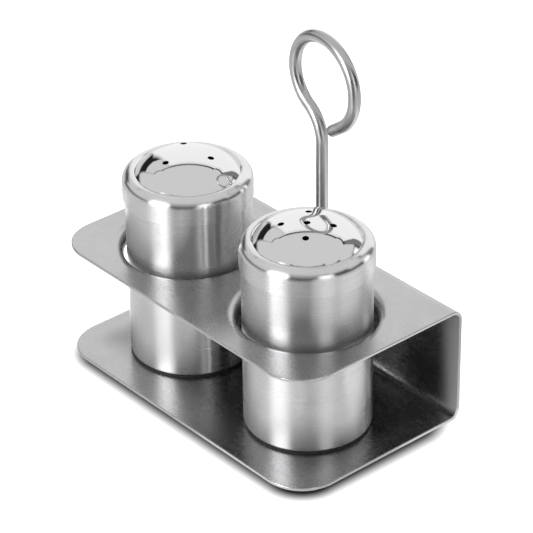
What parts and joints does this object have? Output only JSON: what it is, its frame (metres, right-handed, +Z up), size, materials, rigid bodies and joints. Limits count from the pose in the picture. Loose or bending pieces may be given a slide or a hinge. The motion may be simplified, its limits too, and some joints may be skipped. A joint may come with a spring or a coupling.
{
  "type": "salt and pepper set",
  "caption": "Two round steel shakers with domed slip-on lids stand through the drawn holes of a C-shaped sheet rack that is carried by a bent wire ring.",
  "frame": {"origin": "on the table under the middle of the rack", "axes": "+X along the rack towards the salt shaker, +Y towards the closed back wall and the handle, +Z up"},
  "size_m": [0.131, 0.075, 0.1272],
  "materials": {
    "rack_steel": "satin",
    "wire_steel": "polished",
    "cup_steel": "brushed",
    "lid_steel": "mirror polished",
    "foot_plastic": "moulded, matte"
  },
  "bodies": {
    "rack": {"rack": "rack_steel", "handle": "wire_steel"},
    "salt": {"salt_body": "cup_steel", "salt_foot": "foot_plastic"},
    "salt_lid": {"salt_lid": "lid_steel"},
    "pepper": {"pepper_body": "cup_steel", "pepper_foot": "foot_plastic"},
    "pepper_lid": {"pepper_lid": "lid_steel"}
  },
  "joints": [
    {"name": "salt_lift", "type": "slide", "parent": "rack", "child": "salt", "axis": [0, 0, 1], "range_m": [0, 0.08]},
    {"name": "salt_lid_pull", "type": "slide", "parent": "salt", "child": "salt_lid", "axis": [0, 0, 1], "range_m": [0, 0.03]},
    {"name": "pepper_lift", "type": "slide", "parent": "rack", "child": "pepper", "axis": [0, 0, 1], "range_m": [0, 0.08]},
    {"name": "pepper_lid_pull", "type": "slide", "parent": "pepper", "child": "pepper_lid", "axis": [0, 0, 1], "range_m": [0, 0.03]}
  ]
}
